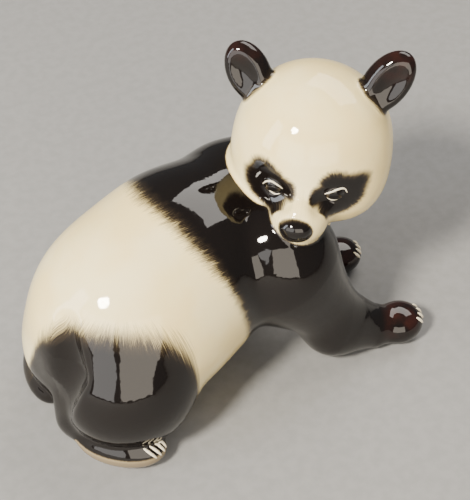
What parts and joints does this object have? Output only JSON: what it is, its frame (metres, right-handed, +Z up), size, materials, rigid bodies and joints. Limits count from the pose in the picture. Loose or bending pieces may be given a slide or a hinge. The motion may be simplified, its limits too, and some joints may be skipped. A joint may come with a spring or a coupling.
{
  "type": "panda figurine",
  "caption": "Glossy ceramic panda, crouching on all fours and looking back over its right shoulder, in black and cream.",
  "frame": {"origin": "on the table, under the middle of the figure's box", "axes": "+X the way the body faces, +Y the figure's left side, +Z up. The head is turned back to the right."},
  "size_m": [0.1256, 0.0746, 0.1019],
  "materials": {
    "glaze": "glossy cream glaze with brushed black markings"
  },
  "bodies": {
    "root": {"panda": "glaze"}
  },
  "joints": []
}
